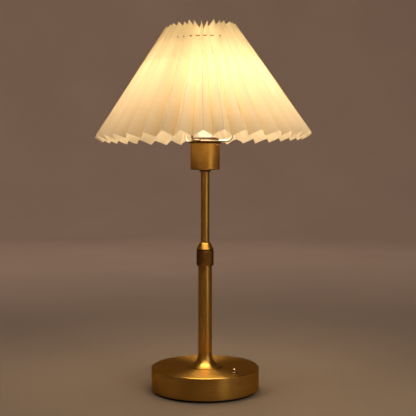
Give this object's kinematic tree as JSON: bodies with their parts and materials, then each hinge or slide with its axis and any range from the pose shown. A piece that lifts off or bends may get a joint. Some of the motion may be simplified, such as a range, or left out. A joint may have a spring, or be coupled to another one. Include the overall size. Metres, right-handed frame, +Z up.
{
  "type": "table lamp",
  "caption": "Table lamp with a round weighted foot, a telescopic swivelling stem, a push switch and a pleated fabric shade on a wire carrier.",
  "frame": {"origin": "on the table, on the axis of the stem, at the middle of the underside", "axes": "+Z up along the stem; -Y towards the user, the side with the push switch; +Y towards the cord inlet at the back"},
  "size_m": [0.25, 0.25, 0.424],
  "materials": {
    "aged_brass": "brushed and lacquered, aged to a dark gold",
    "dark_brass": "darkened, satin",
    "raw_brass": "turned, bright",
    "zinc_steel": "zinc plated, dull",
    "nickel": "nickel plated wire",
    "dark_nickel": "nickel plated, satin, tarnished",
    "weight_iron": "rough casting, painted",
    "pad_rubber": "matt foam rubber",
    "grommet_rubber": "satin moulded rubber",
    "black_plastic": "moulded thermoset",
    "brown_plastic": "moulded brown thermoset",
    "white_nylon": "satin moulded nylon",
    "lead_sheath": "satin cable sheath",
    "shade_cloth": "woven ivory cloth on a stiff backing, knife pleated",
    "cotton_cord": "twisted cotton, brown",
    "opal_glass": "opal, satin",
    "clear_glass": "clear",
    "tungsten": "drawn wire"
  },
  "bodies": {
    "base": {"base_nipple": "zinc_steel", "base_nut": "zinc_steel", "base_pad": "pad_rubber", "base_shell": "aged_brass", "base_washer": "zinc_steel", "base_weight": "weight_iron", "collet": "white_nylon", "cord_grommet": "grommet_rubber", "foot_flare": "aged_brass", "lead_in_foot": "lead_sheath", "lead_slack": "lead_sheath", "lower_tube": "aged_brass", "switch_bezel": "dark_nickel", "switch_body": "black_plastic", "switch_nut": "zinc_steel", "terminal_block": "white_nylon", "tube_ferrule": "raw_brass"},
    "collar": {"clamp_collar": "dark_brass"},
    "guide": {"guide_bush": "white_nylon"},
    "mast": {"upper_tube": "aged_brass", "lead_in_tube": "lead_sheath", "top_nipple": "zinc_steel", "top_washer": "dark_brass", "top_nut": "zinc_steel", "holder_cup": "aged_brass", "cup_flange": "dark_brass", "lampholder_body": "black_plastic", "screw_shell": "raw_brass", "centre_contact": "raw_brass", "carrier_ring": "nickel", "ring_nut": "brown_plastic", "carrier_arm_1": "nickel", "carrier_arm_2": "nickel", "carrier_arm_3": "nickel", "carrier_top_ring": "nickel", "shade_pleats": "shade_cloth", "gather_cord": "cotton_cord", "bulb_contact": "zinc_steel", "bulb_insulator": "black_plastic", "bulb_cap": "nickel", "bulb_glass": "opal_glass", "bulb_stem": "clear_glass", "bulb_filament": "tungsten"},
    "button": {"switch_button": "dark_nickel"}
  },
  "joints": [
    {"name": "mast_slide", "type": "slide", "parent": "base", "child": "guide", "axis": [0, 0, 1], "range_m": [-0.05, 0.04], "deforming": ["lead_slack"]},
    {"name": "mast_swivel", "type": "hinge", "parent": "guide", "child": "mast", "pos_m": [0, 0, 0.111], "axis": [0, 0, 1], "range_deg": [-170, 170]},
    {"name": "collar_turn", "type": "hinge", "parent": "base", "child": "collar", "pos_m": [0, 0, 0.158], "axis": [0, 0, 1], "range_deg": [0, 180]},
    {"name": "switch_press", "type": "slide", "parent": "base", "child": "button", "axis": [0, 0, -1], "range_m": [0, 0.0015], "stiffness_N_per_m": 400, "springref_m": -0.001}
  ]
}
